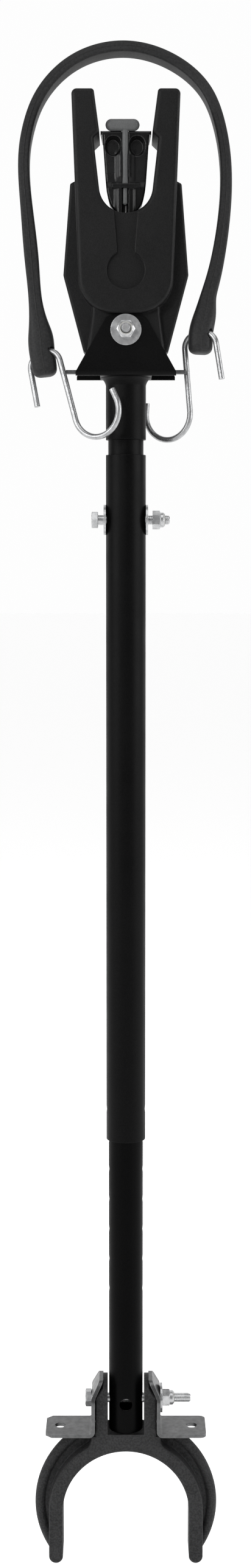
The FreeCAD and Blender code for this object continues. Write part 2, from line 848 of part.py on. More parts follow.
def make_cradle_pad():
    """The rubber pad in the pocket, with a lip on top and a bridge over the pin's groove."""
    right = [
        (pad_top_half, up(pad_top_rise), 2),
        (pad_low_half, up(pocket_side_rise), 10),
        (pad_foot_half, up(pocket_floor_rise) - past, 0),
    ]
    block = front_plate(both_sides(right), pad_depth)
    block = block.common(pocket_prism(cradle_depth))

    def rim_edge(edge):
        return on_face_y(edge, -pad_depth / 2) or on_face_y(edge, pad_depth / 2)

    block = round_edges(block, pad_edge_r, rim_edge)
    groove_r = pin_d / 2 + pin_groove_play
    bridge_front = pin_axis_y() - groove_r - pad_bridge_cover
    lip = front_plate(both_sides([
        (pad_lip_half, up(pad_top_rise), 1),
        (pad_lip_half, up(pad_top_rise) - pad_lip_height, 1),
    ]), pad_depth)
    bridge = Part.makeBox(2 * pad_bridge_half, -pad_depth / 2 + past - bridge_front, pad_bridge_height,
                          V(-pad_bridge_half, bridge_front, pin_nose_top() + pad_bridge_offset))
    groove = cylinder_z(groove_r, up(pocket_floor_rise) - past, up(pad_top_rise) + past, pin_offset, pin_axis_y())
    return block.fuse([lip, bridge]).cut(groove)


def pin_nose_top():
    """Where the parked pin's thin nose ends and its neck begins, above the pocket's floor."""
    return up(pocket_floor_rise) + pin_tip_gap + pin_nose_length


def make_locking_pin():
    """The T-handled pin: round bar on top, stem, groove and a thin nose."""
    stem_top = up(pad_top_rise) + pin_handle_d / 2
    nose_top = pin_nose_top()
    tip = nose_top - pin_nose_length
    groove_top = nose_top + pin_groove_length
    radius = pin_d / 2
    nose_r = pin_nose_d / 2
    stem = turned([
        (0, tip),
        (nose_r - 1, tip),
        (nose_r, tip + 1),
        (nose_r, nose_top),
        (pin_groove_d / 2, nose_top),
        (pin_groove_d / 2, groove_top),
        (radius - 0.6, groove_top),
        (radius, groove_top + 0.6),
        (radius, stem_top),
        (0, stem_top),
    ])
    handle_r = pin_handle_d / 2
    straight = pin_handle_length / 2 - handle_r
    middle = pin_handle_offset
    bar = cylinder_x(handle_r, middle - straight, middle + straight, stem_top)
    ends = [Part.makeSphere(handle_r, V(middle + side * straight, 0, stem_top)) for side in (-1, 1)]
    pin = stem.fuse([bar] + ends).removeSplitter()
    pin.translate(V(pin_offset, pin_axis_y(), 0))
    return pin


def eye_z(side):
    """The height of a strap eye; the photo's left end hangs lower than its right one."""
    return up(-left_eye_drop) if side < 0 else up(-right_eye_drop)


def strap_lean_z():
    return (eye_z(-1) + eye_z(1)) / 2


def eye_place(side):
    """Where the middle of a strap eye lies once the strap leans."""
    offset = eye_z(side) - strap_lean_z()
    lean = math.radians(strap_lean_deg)
    x = left_eye_x if side < 0 else right_eye_x
    return V(x, offset * math.sin(lean) - strap_forward(), strap_lean_z() + offset * math.cos(lean))


def strap_forward():
    """How far the strap comes forward, so that the right hook's spine lies behind the rod's end."""
    tilt = math.radians(right_hook_tilt_deg)
    drop = eye_z(1) - rod_z
    leaned = (eye_z(1) - strap_lean_z()) * math.sin(math.radians(strap_lean_deg))
    behind = (hook_half * math.cos(tilt) - drop * math.tan(tilt)) * math.sin(math.radians(hook_turn_deg))
    seat = (strap_rod_d + hook_wire_d) / 2 + loose_gap
    return leaned + behind - seat


def hook_frame(side):
    """The placement of a hook: tilted, turned to pass the tube, and hung in its eye."""
    tilt = left_hook_tilt_deg if side < 0 else right_hook_tilt_deg
    about = FreeCAD.Rotation(Z_DIR, -hook_turn_deg).multiply(FreeCAD.Rotation(Y_DIR, -tilt))
    if side > 0:
        about = about.multiply(FreeCAD.Rotation(Z_DIR, 180))
    return FreeCAD.Placement(eye_place(side), about)


def strap_section(centre, heading, thickness, corner_r):
    """A rounded rectangle across the strap's route."""
    thick = thickness / 2
    wide = strap_width / 2
    corners = [(-thick, -wide), (thick, -wide), (thick, wide), (-thick, wide)]
    flat = rounded_wire([(u, v, corner_r) for u, v in corners], lambda u, v: V(u, v, 0))
    slope = math.degrees(math.atan2(heading.x, heading.z))
    flat.Placement = FreeCAD.Placement(centre, FreeCAD.Rotation(Y_DIR, slope))
    return flat


def strap_body():
    """The strap lofted through its stations, with rounded toes."""
    route = Part.BSplineCurve()
    centres = [xz(x, up(rise)) for x, rise, thickness, corner_r in strap_stations]
    route.interpolate(centres)
    sections = []
    for centre, station in zip(centres, strap_stations):
        heading = route.tangent(route.parameter(centre))[0]
        sections.append(strap_section(centre, heading, station[2], station[3]))
    body = Part.makeLoft(sections, True, False)
    toes = [face for face in body.Faces if face.Surface.TypeId == "Part::GeomPlane"]
    toe_edges = [edge for face in toes for edge in face.Edges]
    return body.makeFillet(strap_toe_r, toe_edges)


def eye_hole():
    """The eye's hole about X: as wide as the wire in the middle, with mouths that flare below and
    in front, where the bent wire swings."""
    play = hook_wire_d / 2 + loose_gap
    flare_r = hook_bend_r - play

    def flare(share, side):
        turn = math.radians(eye_flare_deg * share)
        return xz(side * (hook_flat + flare_r * math.sin(turn)), hook_bend_r - flare_r * math.cos(turn))

    left, right = flare(1, -1), flare(1, 1)
    edges = [
        line(xz(left.x, 0), left),
        Part.Arc(left, flare(0.5, -1), xz(-hook_flat, play)).toShape(),
        line(xz(-hook_flat, play), xz(hook_flat, play)),
        Part.Arc(xz(hook_flat, play), flare(0.5, 1), right).toShape(),
        line(right, xz(right.x, 0)),
        line(xz(right.x, 0), xz(left.x, 0)),
    ]
    flare_face = Part.Face(Part.Wire(edges))
    flare_face.rotate(ORIGIN, X_DIR, 180 + eye_sweep_from_deg)
    swept = flare_face.revolve(ORIGIN, X_DIR, eye_sweep_to_deg - eye_sweep_from_deg)
    return swept.fuse(cylinder_x(play, left.x, right.x)).removeSplitter()


def make_strap():
    """The rubber strap, standing in an arch over the cradle."""
    body = strap_body()
    body.rotate(V(0, 0, strap_lean_z()), X_DIR, -strap_lean_deg)
    body.translate(V(0, -strap_forward(), 0))
    for side in (-1, 1):
        hole = eye_hole()
        hole.Placement = hook_frame(side)
        body = body.cut(hole)
    return body


def make_hook(side):
    """A flat S-hook of round wire: a loop through the eye, a long spine and a wide open loop."""
    splay = math.radians(hook_splay_deg)
    bend_x = -hook_flat - hook_bend_r * math.cos(splay)
    bend_z = hook_bend_r * math.sin(splay) - hook_bend_r
    run = hook_short_leg - hook_bend_r
    leg_end = xz(bend_x - run * math.sin(splay), bend_z - run * math.cos(splay))
    half_turn = (math.pi / 2 - splay) / 2
    bend_middle = xz(-hook_flat - hook_bend_r * math.sin(half_turn), hook_bend_r * (math.cos(half_turn) - 1))
    bulge = hook_bend_r * (1 - math.sqrt(0.5))
    loop_centre = xz(hook_half + hook_loop_r, hook_loop_r - hook_length)
    close = math.radians(hook_close_deg)
    loop_middle = loop_centre + xz(math.sin(close / 2), -math.cos(close / 2)) * hook_loop_r
    loop_end = loop_centre + xz(math.cos(close), math.sin(close)) * hook_loop_r
    tip = loop_end + xz(-math.sin(close), math.cos(close)) * hook_tip_length
    spine_end = xz(hook_half, loop_centre.z)
    curves = [
        Part.LineSegment(leg_end, xz(bend_x, bend_z)),
        Part.Arc(xz(bend_x, bend_z), bend_middle, xz(-hook_flat, 0)),
        Part.LineSegment(xz(-hook_flat, 0), xz(hook_flat, 0)),
        Part.Arc(xz(hook_flat, 0), xz(hook_half - bulge, -bulge), xz(hook_half, -hook_bend_r)),
        Part.LineSegment(xz(hook_half, -hook_bend_r), spine_end),
        Part.Arc(spine_end, loop_middle, loop_end),
        Part.LineSegment(loop_end, tip),
    ]
    path = Part.Wire([curve.toShape() for curve in curves])
    section = Part.Wire(Part.makeCircle(hook_wire_d / 2, leg_end, xz(math.sin(splay), math.cos(splay))))
    hook = path.makePipeShell([section], True, False).Solids[0]
    hook.Placement = hook_frame(side)
    return hook


nodes = {
    "fork": make_fork,
    "adapter_left": lambda: make_adapter(-1),
    "adapter_right": lambda: make_adapter(1),
    "lower_bolt": make_lower_bolt,
    "lower_washer": make_lower_washer,
    "lower_nut": make_lower_nut,
    "lower_tube": make_lower_tube,
    "upper_tube": make_upper_tube,
    "shock_bolt": make_shock_bolt,
    "shock_washers": make_shock_washers,
    "shock_nut": make_shock_nut,
    "shock_spring": make_spring,
    "stem_tube": make_stem_tube,
    "stub_tube": make_stub_tube,
    "clevis": make_clevis,
    "strap_rod": make_strap_rod,
    "pivot_bolt": make_pivot_bolt,
    "pivot_washers": make_pivot_washers,
    "pivot_nut": make_pivot_nut,
    "cradle": make_cradle,
    "cradle_pad": make_cradle_pad,
    "locking_pin": make_locking_pin,
    "strap": make_strap,
    "hook_left": lambda: make_hook(-1),
    "hook_right": lambda: make_hook(1),
}

os.makedirs("parts", exist_ok=True)
for name, make in nodes.items():
    shape = make()
    shape.translate(V(0, 0, frame_rise))
    shape.exportStep("parts/" + name + ".step")
    box = shape.BoundBox
    print(name, "solids", len(shape.Solids), "valid", shape.isValid(), "volume", round(shape.Volume),
          "z", round(box.ZMin, 1), round(box.ZMax, 1))
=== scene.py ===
# %% [markdown]
# A transom support bracket: a telescoping strut that props an outboard motor on its trailer.
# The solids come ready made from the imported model. This script gives them their finishes, adds
# the fine forms that the solids leave out, and sets the camera, the light and the floor.
# The model is loaded first, because every later piece is placed by what the model says.

# %% Load the frame
import bmesh
import bpy
import json
import math
import numpy as np
from mathutils import Matrix, Vector


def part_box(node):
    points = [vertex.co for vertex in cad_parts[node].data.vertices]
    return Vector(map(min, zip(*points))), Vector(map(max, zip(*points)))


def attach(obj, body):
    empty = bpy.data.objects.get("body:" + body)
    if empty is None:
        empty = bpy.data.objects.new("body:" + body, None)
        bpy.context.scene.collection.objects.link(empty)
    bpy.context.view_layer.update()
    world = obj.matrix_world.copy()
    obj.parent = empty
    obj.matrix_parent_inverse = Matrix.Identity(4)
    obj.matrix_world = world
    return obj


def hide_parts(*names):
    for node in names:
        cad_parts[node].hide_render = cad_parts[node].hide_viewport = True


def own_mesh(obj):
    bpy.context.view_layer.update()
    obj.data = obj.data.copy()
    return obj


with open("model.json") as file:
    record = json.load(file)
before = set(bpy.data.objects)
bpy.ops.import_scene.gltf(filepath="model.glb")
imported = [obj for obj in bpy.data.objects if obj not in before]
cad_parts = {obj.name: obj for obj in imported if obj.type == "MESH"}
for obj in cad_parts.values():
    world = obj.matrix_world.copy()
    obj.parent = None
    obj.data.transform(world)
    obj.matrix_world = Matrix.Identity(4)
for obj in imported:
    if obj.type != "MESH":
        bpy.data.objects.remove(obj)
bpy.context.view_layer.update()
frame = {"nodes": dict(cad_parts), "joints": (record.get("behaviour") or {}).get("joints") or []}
nodes = frame["nodes"]

# %% [markdown]
# The camera comes next. The photograph was taken from straight in front, a little above the
# middle, and tipped six degrees down, so the cradle is seen level and the foot from above.
# The distance and lens were worked out from how the widths shrink towards the foot.

# %% Camera
camera_side = -0.0003
camera_distance = 1.615
camera_height = 0.712
camera_tip_deg = 6.0
camera_lens_mm = 46.1
camera_sensor_mm = 36.0
camera_data = bpy.data.cameras.new("camera")
camera_data.sensor_width = camera_sensor_mm
camera_data.lens = camera_lens_mm
camera = bpy.data.objects.new("camera", camera_data)
camera.location = (camera_side, -camera_distance, camera_height)
camera.rotation_euler = (math.radians(90.0 - camera_tip_deg), 0.0, 0.0)
bpy.context.scene.collection.objects.link(camera)
bpy.context.scene.camera = camera
print("camera", tuple(camera.location))

# %% [markdown]
# The bracket stands over a wide pale floor that runs out of sight, so it can be looked at from
# any side. The far floor and the bright end of the room meet in the same white.

# %% Floor
floor_z = -0.118
floor_half = 40.0
corners = [(x, y, floor_z) for x, y in ((-floor_half, -floor_half), (floor_half, -floor_half),
                                        (floor_half, floor_half), (-floor_half, floor_half))]
floor_mesh = bpy.data.meshes.new("floor")
floor_mesh.from_pydata(corners, [], [(0, 1, 2, 3)])
floor = bpy.data.objects.new("floor", floor_mesh)
bpy.context.scene.collection.objects.link(floor)
print("floor at", floor_z)

# %% [markdown]
# Black parts on a white ground need the ground lit and the room dark. The room is bright behind
# the bracket, like a lit screen, and dim on the camera's side, which keeps the blacks deep and
# gives the plated parts dark edges. The bracket gets three large soft lights, left, right and
# above, which draw pale streaks down the tubes, and a small one near the camera that reaches
# into the pin holes.

# %% Lights
def soft_light(name, place, target, size, power):
    """A square area light aimed at a point."""
    data = bpy.data.lights.new(name, "AREA")
    data.size = size
    data.energy = power
    lamp = bpy.data.objects.new(name, data)
    lamp.location = place
    aim = Vector(target) - Vector(place)
    lamp.rotation_euler = aim.to_track_quat("-Z", "Y").to_euler()
    bpy.context.scene.collection.objects.link(lamp)
    return lamp


middle = (0.0, 0.0, 0.5)
soft_light("light_left", (-2.0, -1.2, 1.3), middle, 1.8, 30.0)
soft_light("light_right", (2.0, -0.7, 1.1), middle, 1.6, 24.0)
soft_light("light_top", (0.2, -0.9, 2.6), middle, 1.8, 15.0)
soft_light("light_front", (-0.6, -1.7, 1.35), middle, 0.35, 5.0)

# the room's light runs smoothly from dim on the camera's side to bright behind the bracket
room_dim, room_bright = 0.12, 0.985
room_turn_from, room_turn_to = 0.15, 0.65
world = bpy.data.worlds.new("world")
world.use_nodes = True
room = world.node_tree
room_place = room.nodes.new("ShaderNodeTexCoord")
room_axes = room.nodes.new("ShaderNodeSeparateXYZ")
room_light = room.nodes.new("ShaderNodeMapRange")
room_light.interpolation_type = "SMOOTHSTEP"
for socket_name, value in (("From Min", room_turn_from), ("From Max", room_turn_to),
                           ("To Min", room_dim), ("To Max", room_bright)):
    room_light.inputs[socket_name].default_value = value
room.links.new(room_place.outputs["Generated"], room_axes.inputs["Vector"])
room.links.new(room_axes.outputs["Y"], room_light.inputs["Value"])
room.links.new(room_light.outputs["Result"], room.nodes["Background"].inputs["Strength"])
room.nodes["Background"].inputs["Color"].default_value = (1.0, 1.0, 1.0, 1.0)
bpy.context.scene.world = world
bpy.context.scene.view_settings.view_transform = "Standard"
print("lights", len(bpy.data.lights))

# %% [markdown]
# Every finish is built from the same few nodes. Noise on Object coordinates moves the colour
# and the roughness a little, and finer noise gives the bump. A bevel compared with the true
# normal finds the edges, which are rubbed paler on cast and painted parts, and the same bevel
# rounds the light on edges that the solids leave sharp.

# %% Material helpers
def add(tree, kind, **settings):
    """A new shader node with its plain settings."""
    node = tree.nodes.new(kind)
    for key, value in settings.items():
        setattr(node, key, value)
    return node


def wire(tree, source, target):
    tree.links.new(source, target)


def new_material(name):
    """An empty node material; returns the material, its tree and its shader."""
    material = bpy.data.materials.new(name)
    material.use_nodes = True
    tree = material.node_tree
    return material, tree, tree.nodes["Principled BSDF"]


def noise(tree, scale, detail=3.0, roughness=0.55):
    """Noise on Object coordinates; scale counts grains per metre."""
    coordinates = add(tree, "ShaderNodeTexCoord")
    texture = add(tree, "ShaderNodeTexNoise")
    texture.inputs["Scale"].default_value = scale
    texture.inputs["Detail"].default_value = detail
    texture.inputs["Roughness"].default_value = roughness
    wire(tree, coordinates.outputs["Object"], texture.inputs["Vector"])
    return texture.outputs["Fac"]


def remap(tree, source, low, high, to_low, to_high):
    """A value moved from one range to another and kept inside it."""
    node = add(tree, "ShaderNodeMapRange")
    for name, value in (("From Min", low), ("From Max", high), ("To Min", to_low), ("To Max", to_high)):
        node.inputs[name].default_value = value
    wire(tree, source, node.inputs["Value"])
    return node.outputs["Result"]


def blend_colours(tree, factor, first, second):
    """First colour where the factor is 0, second where it is 1; either may be a socket."""
    node = add(tree, "ShaderNodeMix", data_type="RGBA")
    wire(tree, factor, node.inputs["Factor"])
    for name, colour in (("A", first), ("B", second)):
        socket = [s for s in node.inputs if s.name == name and s.type == "RGBA"][0]
        if isinstance(colour, tuple):
            socket.default_value = (*colour, 1.0)
        else:
            wire(tree, colour, socket)
    return [s for s in node.outputs if s.type == "RGBA"][0]


def times(tree, source, factor):
    node = add(tree, "ShaderNodeMath", operation="MULTIPLY")
    node.inputs[1].default_value = factor
    wire(tree, source, node.inputs[0])
    return node.outputs["Value"]


def soft_edge(tree, reach):
    """The normal with its edges rounded, and a mask that is 1 on edges and 0 on faces.

    The two normals lie apart only near an edge, so their dot product falls from face_dot to edge_dot there.
    """
    face_dot, edge_dot = 0.98, 0.80
    bevel = add(tree, "ShaderNodeBevel", samples=6)
    bevel.inputs["Radius"].default_value = reach
    geometry = add(tree, "ShaderNodeNewGeometry")
    dot = add(tree, "ShaderNodeVectorMath", operation="DOT_PRODUCT")
    wire(tree, bevel.outputs["Normal"], dot.inputs[0])
    wire(tree, geometry.outputs["Normal"], dot.inputs[1])
    return bevel.outputs["Normal"], remap(tree, dot.outputs["Value"], face_dot, edge_dot, 0.0, 1.0)


def add_bump(tree, shader, height, depth, normal):
    """Raises the surface over the rounded normal, by up to depth metres where the height is 1."""
    bump = add(tree, "ShaderNodeBump")
    bump.inputs["Strength"].default_value = 1.0
    bump.inputs["Distance"].default_value = depth
    wire(tree, height, bump.inputs["Height"])
    wire(tree, normal, bump.inputs["Normal"])
    wire(tree, bump.outputs["Normal"], shader.inputs["Normal"])


# %% [markdown]
# One function makes the painted, cast, moulded and rubber finishes. They differ in colour, in
# how coarse and deep the grain is, in how much they shine, and in how the edges are rubbed.

# %% Coated finishes
cloud_low, cloud_high = 0.35, 0.65
rough_low, rough_high = 0.3, 0.7
coat_cloud_scale = 14.0
coat_speck_share = 0.6
coat_rough_scale = 35.0
coat_rough_spread = 0.07


def coated(name, dark, light, worn, roughness, grains, depth, shine, wear, reach=0.0008):
    """A coat with grain: two colours that cloud into each other, bump, and paler worn edges.

    grains counts specks per metre, depth and reach are in metres, and wear is how far the edges turn to worn.
    """
    material, tree, shader = new_material(name)
    shader.inputs["Specular IOR Level"].default_value = shine
    clouds = remap(tree, noise(tree, coat_cloud_scale), cloud_low, cloud_high, 0.0, 1.0)
    specks = remap(tree, noise(tree, grains, 2.0), cloud_low, cloud_high, 0.0, 1.0)
    mixed = add(tree, "ShaderNodeMix", data_type="FLOAT")
    mixed.inputs["Factor"].default_value = coat_speck_share
    wire(tree, clouds, mixed.inputs["A"])
    wire(tree, specks, mixed.inputs["B"])
    colour = blend_colours(tree, mixed.outputs["Result"], dark, light)
    normal, edges = soft_edge(tree, reach)
    colour = blend_colours(tree, times(tree, edges, wear), colour, worn)
    wire(tree, colour, shader.inputs["Base Color"])
    rough = remap(tree, noise(tree, coat_rough_scale), rough_low, rough_high,
                  roughness - coat_rough_spread, roughness + coat_rough_spread)
    wire(tree, rough, shader.inputs["Roughness"])
    add_bump(tree, shader, noise(tree, grains, 4.0, 0.6), depth, normal)
    print("finish", name)
    return material


powder_coat = coated(
    "powder_coat_black", dark=(0.0012, 0.0012, 0.0013), light=(0.0036, 0.0036, 0.0037), worn=(0.022, 0.022, 0.022),
    roughness=0.40, grains=900.0, depth=0.00008, shine=0.08, wear=0.22)
# The lower tube wears the same black powder coat as the other tubes; this darker copy of it is painted shade.
shaded_tube_coat = coated(
    "powder_coat_tube_painted_shade", dark=(0.0007, 0.0007, 0.0008), light=(0.0020, 0.0020, 0.0021), worn=(0.014, 0.014, 0.014),
    roughness=0.40, grains=900.0, depth=0.00008, shine=0.05, wear=0.2)
moulded = coated(
    "moulded_black", dark=(0.0040, 0.0040, 0.0041), light=(0.0105, 0.0105, 0.0107), worn=(0.035, 0.035, 0.036),
    roughness=0.44, grains=1100.0, depth=0.00016, shine=0.18, wear=0.32)
cast_grey = coated(
    "cast_grey", dark=(0.006, 0.006, 0.0062), light=(0.036, 0.036, 0.037), worn=(0.10, 0.10, 0.10),
    roughness=0.58, grains=650.0, depth=0.00045, shine=0.22, wear=0.4, reach=0.0012)
rubber = coated(
    "rubber_black", dark=(0.014, 0.014, 0.0144), light=(0.030, 0.030, 0.0306), worn=(0.045, 0.045, 0.045),
    roughness=0.50, grains=700.0, depth=0.00012, shine=0.20, wear=0.25)
# The flash ridge is the strap's own rubber; its paler, glossier colour here is a painted highlight along the
# strap's edge.
highlit_flash_rubber = coated(
    "rubber_flash_painted_highlight", dark=(0.06, 0.06, 0.061), light=(0.10, 0.10, 0.101), worn=(0.12, 0.12, 0.12),
    roughness=0.30, grains=700.0, depth=0.00004, shine=0.50, wear=0.3)
pad_rubber = coated(
    "rubber_pad", dark=(0.0022, 0.0022, 0.0023), light=(0.0060, 0.0060, 0.0062), worn=(0.02, 0.02, 0.02),
    roughness=0.24, grains=900.0, depth=0.00006, shine=0.35, wear=0.2)
pin_grey = coated(
    "pin_grey", dark=(0.075, 0.077, 0.078), light=(0.115, 0.117, 0.118), worn=(0.22, 0.22, 0.22),
    roughness=0.42, grains=1200.0, depth=0.00005, shine=0.3, wear=0.3)
spring_blue = coated(
    "spring_blue", dark=(0.010, 0.045, 0.20), light=(0.02, 0.08, 0.30), worn=(0.08, 0.15, 0.40),
    roughness=0.3, grains=800.0, depth=0.00003, shine=0.4, wear=0.2)
nylon = coated(
    "nylon_white", dark=(0.42, 0.42, 0.40), light=(0.52, 0.52, 0.49), worn=(0.60, 0.60, 0.57),
    roughness=0.45, grains=700.0, depth=0.00003, shine=0.4, wear=0.2)

# %% [markdown]
# Zinc plating is metal with a faint crystalline cloudiness. Its roughness wanders, so that
# highlights break up a little instead of lying flat, and its edges are rubbed bright.

# %% Zinc
plating_rubbed = (0.60, 0.60, 0.61)
plating_rubbed_share = 0.5
plating_edge = 0.0004
plating_cloud_scale = 240.0
plating_rough_scale = 90.0
plating_bump_scale = 1500.0
plating_bump_depth = 0.000012


def plated(name, dark, light, roughness, metallic):
    """Plated steel; the share that is not metallic is the milky part of the plating."""
    material, tree, shader = new_material(name)
    shader.inputs["Metallic"].default_value = metallic
    clouds = remap(tree, noise(tree, plating_cloud_scale, 4.0), cloud_low, cloud_high, 0.0, 1.0)
    normal, edges = soft_edge(tree, plating_edge)
    colour = blend_colours(tree, clouds, dark, light)
    colour = blend_colours(tree, times(tree, edges, plating_rubbed_share), colour, plating_rubbed)
    wire(tree, colour, shader.inputs["Base Color"])
    rough = remap(tree, noise(tree, plating_rough_scale), rough_low, rough_high, roughness - 0.06, roughness + 0.10)
    wire(tree, rough, shader.inputs["Roughness"])
    add_bump(tree, shader, noise(tree, plating_bump_scale, 3.0), plating_bump_depth, normal)
    print("finish", name)
    return material


zinc = plated("zinc_bright", dark=(0.33, 0.333, 0.337), light=(0.45, 0.454, 0.46),
              roughness=0.26, metallic=0.78)
# The bolts, nuts and washers have the same zinc plating as the hooks; this lighter, less metallic copy of it is
# painted highlight.
highlit_bolt_zinc = plated("zinc_bolt_painted_highlight", dark=(0.42, 0.424, 0.43), light=(0.60, 0.604, 0.61),
                   roughness=0.22, metallic=0.62)
plate_grey = plated("plate_grey", dark=(0.10, 0.101, 0.102), light=(0.15, 0.151, 0.153),
                    roughness=0.34, metallic=0.80)
rod_steel = plated("rod_steel", dark=(0.07, 0.071, 0.072), light=(0.13, 0.131, 0.133),
                   roughness=0.38, metallic=0.9)

# %% [markdown]
# The studio's own sheet is matt and nearly white, and glows softly like a lit screen. The glow
# fades in front of the bracket, where it would only show as a grey veil on the black tubes.

# %% Studio paper
glow_front, glow_back = 0.20, 0.63
glow_from_y, glow_to_y = -0.6, 0.0
paper, paper_tree, paper_shader = new_material("studio_paper")
paper_shader.inputs["Base Color"].default_value = (0.90, 0.90, 0.90, 1.0)
paper_shader.inputs["Roughness"].default_value = 0.9
paper_shader.inputs["Emission Color"].default_value = (1.0, 1.0, 1.0, 1.0)
paper_place = add(paper_tree, "ShaderNodeTexCoord")
paper_axes = add(paper_tree, "ShaderNodeSeparateXYZ")
wire(paper_tree, paper_place.outputs["Object"], paper_axes.inputs["Vector"])
glow = remap(paper_tree, paper_axes.outputs["Y"], glow_from_y, glow_to_y, glow_front, glow_back)
wire(paper_tree, glow, paper_shader.inputs["Emission Strength"])
floor.data.materials.append(paper)

# %% [markdown]
# The fine pieces are skins over rings of points. A turned piece has round rings, and a hexagon
# head has rings whose points lie on the hexagon's sides. Helpers build the skin, shade it
# smooth except over its real edges, and hand the piece to the body that carries it.

# %% Mesh helpers
MM = 0.001


def skin(rings, start_cap=True, end_cap=True):
    """Points and faces of a tube through rings that all have the same number of points."""
    count = len(rings[0])
    points = [Vector(point) for ring in rings for point in ring]
    faces = []
    for row in range(len(rings) - 1):
        for i in range(count):
            j = (i + 1) % count
            this_row, next_row = row * count, (row + 1) * count
            faces.append((this_row + i, this_row + j, next_row + j, next_row + i))
    if start_cap:
        faces.append(tuple(reversed(range(count))))
    if end_cap:
        last = (len(rings) - 1) * count
        faces.append(tuple(range(last, last + count)))
    return points, faces


def build_mesh(name, parts, material, sharp_deg=32.0):
    """One clean mesh from several (points, faces) parts, shaded smooth over soft angles."""
    points, faces = [], []
    for part_points, part_faces in parts:
        base = len(points)
        points += part_points
        faces += [tuple(base + i for i in face) for face in part_faces]
    mesh = bpy.data.meshes.new(name)
    mesh.from_pydata(points, [], faces)
    work = bmesh.new()
    work.from_mesh(mesh)
    bmesh.ops.remove_doubles(work, verts=work.verts, dist=1e-6)
    bmesh.ops.recalc_face_normals(work, faces=work.faces)
    work.to_mesh(mesh)
    work.free()
    mesh.shade_smooth()
    mesh.set_sharp_from_angle(angle=math.radians(sharp_deg))
    mesh.materials.append(material)
    return mesh


def mesh_part(mesh):
    """The points and faces of a mesh, to join with others."""
    return [vertex.co.copy() for vertex in mesh.vertices], [tuple(face.vertices) for face in mesh.polygons]


def place_piece(name, mesh, body, slot, *replaced):
    """Puts a finished mesh in the scene on the body that carries it."""
    piece = bpy.data.objects.new(name, mesh)
    bpy.context.scene.collection.objects.link(piece)
    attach(piece, body)
    if replaced:
        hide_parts(*replaced)
    print("piece", name, len(mesh.polygons), "faces")
    return piece


def circle_ring(radius, z, count):
    return [(radius * math.cos(2 * math.pi * i / count), radius * math.sin(2 * math.pi * i / count), z)
            for i in range(count)]


def hex_ring(flats, height_at, count):
    """Points along a hexagon's sides, each at a height that depends on its radius."""
    ring = []
    for i in range(count):
        turn = 2 * math.pi * i / count
        off = (turn + math.pi / 6) % (math.pi / 3) - math.pi / 6
        radius = flats / 2 / math.cos(off)
        ring.append((radius * math.cos(turn), radius * math.sin(turn), height_at(radius)))
    return ring


# %% [markdown]
# A screw thread is a ridge wound round a core. It is rolled on the real bolt, so the ridge
# follows an even helix. Geometry Nodes draw the helix and sweep a three-sided section along it,
# with its corner outwards, so one tree with named inputs serves all three bolts.

# %% Thread tree
def thread_tree(material):
    """A node tree that sweeps a small triangle along a helix."""
    tree = bpy.data.node_groups.new("screw_thread", "GeometryNodeTree")
    interface = tree.interface
    interface.new_socket("Geometry", in_out="OUTPUT", socket_type="NodeSocketGeometry")
    names = {}
    for label, value in (("Turns", 10.0), ("Helix Radius", 0.003), ("Length", 0.02), ("Ridge Size", 0.0008)):
        socket = interface.new_socket(label, in_out="INPUT", socket_type="NodeSocketFloat")
        socket.default_value = value
        names[label] = socket.identifier
    nodes_of = tree.nodes
    inputs = nodes_of.new("NodeGroupInput")
    helix = nodes_of.new("GeometryNodeCurveSpiral")
    helix.inputs["Resolution"].default_value = 40
    normal = nodes_of.new("GeometryNodeSetCurveNormal")
    normal.mode = "Z_UP"
    ridge = nodes_of.new("GeometryNodeCurvePrimitiveCircle")
    ridge.inputs["Resolution"].default_value = 3
    sweep = nodes_of.new("GeometryNodeCurveToMesh")
    sweep.inputs["Fill Caps"].default_value = True
    real = nodes_of.new("GeometryNodeRealizeInstances")
    dress = nodes_of.new("GeometryNodeSetMaterial")
    dress.inputs["Material"].default_value = material
    output = nodes_of.new("NodeGroupOutput")
    link = tree.links.new
    link(inputs.outputs["Turns"], helix.inputs["Rotations"])
    link(inputs.outputs["Helix Radius"], helix.inputs["Start Radius"])
    link(inputs.outputs["Helix Radius"], helix.inputs["End Radius"])
    link(inputs.outputs["Length"], helix.inputs["Height"])
    link(inputs.outputs["Ridge Size"], ridge.inputs["Radius"])
    link(helix.outputs["Curve"], normal.inputs["Curve"])
    link(normal.outputs["Curve"], sweep.inputs["Curve"])
    link(ridge.outputs["Curve"], sweep.inputs["Profile Curve"])
    link(sweep.outputs["Mesh"], real.inputs["Geometry"])
    link(real.outputs["Geometry"], dress.inputs["Geometry"])
    link(dress.outputs["Geometry"], output.inputs["Geometry"])
    return tree, names


thread_nodes, thread_inputs = thread_tree(highlit_bolt_zinc)


def grown_mesh(name, tree, values):
    """The plain mesh that a node tree makes with the given input values."""
    carrier = bpy.data.objects.new(name, bpy.data.meshes.new(name))
    bpy.context.scene.collection.objects.link(carrier)
    modifier = carrier.modifiers.new("grow", "NODES")
    modifier.node_group = tree
    for identifier, value in values.items():
        modifier[identifier] = value
    graph = bpy.context.evaluated_depsgraph_get()
    mesh = bpy.data.meshes.new_from_object(carrier.evaluated_get(graph))
    carrier.modifiers.clear()
    bpy.data.objects.remove(carrier)
    return mesh


print("thread inputs", list(thread_inputs))

# %% [markdown]
# The three cross bolts are hexagon-head bolts of 5/16 inch stock with 18 threads to the inch.
# Each head has the round chamfer that turning leaves on a hexagon, and each shank is plain
# first and threaded at the end. Their places come from the boxes of the solids.

